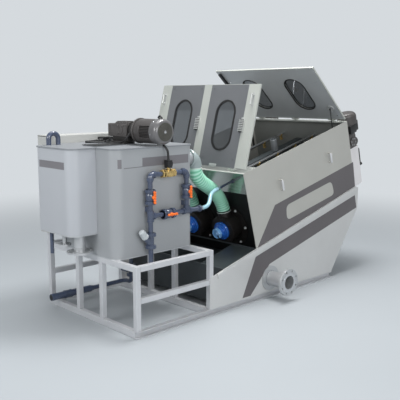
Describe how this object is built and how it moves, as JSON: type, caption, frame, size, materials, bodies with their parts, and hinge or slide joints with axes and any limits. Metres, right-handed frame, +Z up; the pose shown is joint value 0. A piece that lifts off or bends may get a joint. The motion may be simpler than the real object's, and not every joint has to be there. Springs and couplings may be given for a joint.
{
  "type": "multi-disc screw press",
  "caption": "Sludge dewatering press with a sloping housing, lids with windows, disc drums, tanks, dosing pipes and a steel skid.",
  "frame": {"origin": "centre of the underside of the skid's middle cross bar, on the floor", "axes": "+X along the skid from the tank stand to the discharge end, +Y across to the control cabinet's side, +Z up"},
  "size_m": [3.4264, 1.569, 2.1412],
  "materials": {
    "grey_paint": "satin",
    "dark_paint": "satin",
    "tank_paint": "satin",
    "frame_steel": "satin",
    "pan_steel": "satin",
    "ring_steel": "brushed",
    "bright_steel": "bright",
    "blue_paint": "gloss",
    "window_glass": "clear",
    "seal_rubber": "matt",
    "brass": "satin",
    "pvc": "satin",
    "orange_plastic": "gloss",
    "green_hose": "ribbed",
    "clear_hose": "clear",
    "clear_plastic": "clear",
    "motor_paint": "satin",
    "gear_alloy": "cast",
    "cabinet_paint": "satin",
    "black_plastic": "matt"
  },
  "bodies": {
    "machine": {"skid_rails": "frame_steel", "skid_cross_bars": "frame_steel", "stand_posts": "frame_steel", "stand_side_rails": "frame_steel", "stand_cross_rails": "frame_steel", "body_near_plate": "grey_paint", "body_far_plate": "grey_paint", "body_front_wall": "grey_paint", "body_rear_wall": "grey_paint", "body_floor": "grey_paint", "front_pan": "pan_steel", "housing_rear_wall": "grey_paint", "front_apron": "grey_paint", "bulkhead": "dark_paint", "housing_near_wall": "grey_paint", "housing_far_wall": "grey_paint", "rear_hood": "grey_paint", "drive_gearboxes": "gear_alloy", "drive_motors": "motor_paint", "drum_rings": "ring_steel", "drum_tie_rods": "bright_steel", "screw_shafts": "bright_steel", "drum_heads": "pan_steel", "bearing_caps": "blue_paint", "spray_pipes": "bright_steel", "spray_nozzles": "brass", "centre_beam": "pan_steel", "hinge_ledges": "grey_paint", "floc_tank_wall": "tank_paint", "feed_tank_wall": "tank_paint", "tank_cover": "tank_paint", "mixer_gearbox": "gear_alloy", "mixer_motor": "motor_paint", "control_cabinet": "cabinet_paint", "dosing_pipes": "pvc", "solenoid_valve": "brass", "solenoid_coil": "black_plastic", "valve_bodies": "pvc", "strainer_cup": "clear_plastic", "tank_bottoms": "tank_paint", "tank_pipes": "bright_steel", "green_hoses": "green_hose", "clear_hose": "clear_hose", "spray_feed_pipe": "pvc", "outlet_pipe": "bright_steel", "level_probe": "black_plastic"},
    "front_lid": {"front_lid": "grey_paint", "front_lid_glass": "window_glass", "front_lid_seals": "seal_rubber", "front_lid_fittings": "bright_steel"},
    "rear_lid": {"rear_lid": "grey_paint", "rear_lid_glass": "window_glass", "rear_lid_seals": "seal_rubber"},
    "strut_tubes": {"strut_tubes": "black_plastic"},
    "strut_rods": {"strut_rods": "bright_steel"},
    "handle_left": {"handle_left": "orange_plastic"},
    "handle_right": {"handle_right": "orange_plastic"},
    "handle_low": {"handle_low": "orange_plastic"}
  },
  "joints": [
    {"name": "front_lid_hinge", "type": "hinge", "parent": "machine", "child": "front_lid", "pos_m": [-0.06713, 0, 1.21739], "axis": [0, 1, 0], "range_deg": [0, 60.4]},
    {"name": "rear_lid_hinge", "type": "hinge", "parent": "machine", "child": "rear_lid", "pos_m": [1.45034, 0, 1.624], "axis": [0, -1, 0], "range_deg": [0, 56.2]},
    {"name": "strut_tube_turn", "type": "hinge", "parent": "machine", "child": "strut_tubes", "pos_m": [1.41287, 0, 1.28474], "axis": [0, -1, 0], "range_deg": [0, 12.6]},
    {"name": "strut_rod_slide", "type": "slide", "parent": "strut_tubes", "child": "strut_rods", "axis": [0.2622, 0, -0.965], "range_m": [0, 0.163]},
    {"name": "valve_left_turn", "type": "hinge", "parent": "machine", "child": "handle_left", "pos_m": [-0.979, -0.4953, 1.063], "axis": [0, 1, 0], "range_deg": [0, 90]},
    {"name": "valve_right_turn", "type": "hinge", "parent": "machine", "child": "handle_right", "pos_m": [-0.584, -0.4953, 1.072], "axis": [0, 1, 0], "range_deg": [0, 90]},
    {"name": "valve_low_turn", "type": "hinge", "parent": "machine", "child": "handle_low", "pos_m": [-0.789, -0.4953, 0.905], "axis": [0, 1, 0], "range_deg": [0, 90]}
  ],
  "couplings": [
    {"joint": "strut_tube_turn", "follows": "rear_lid_hinge", "ratio": 0.22149},
    {"joint": "strut_rod_slide", "follows": "rear_lid_hinge", "m_per_rad": 0.16436}
  ]
}
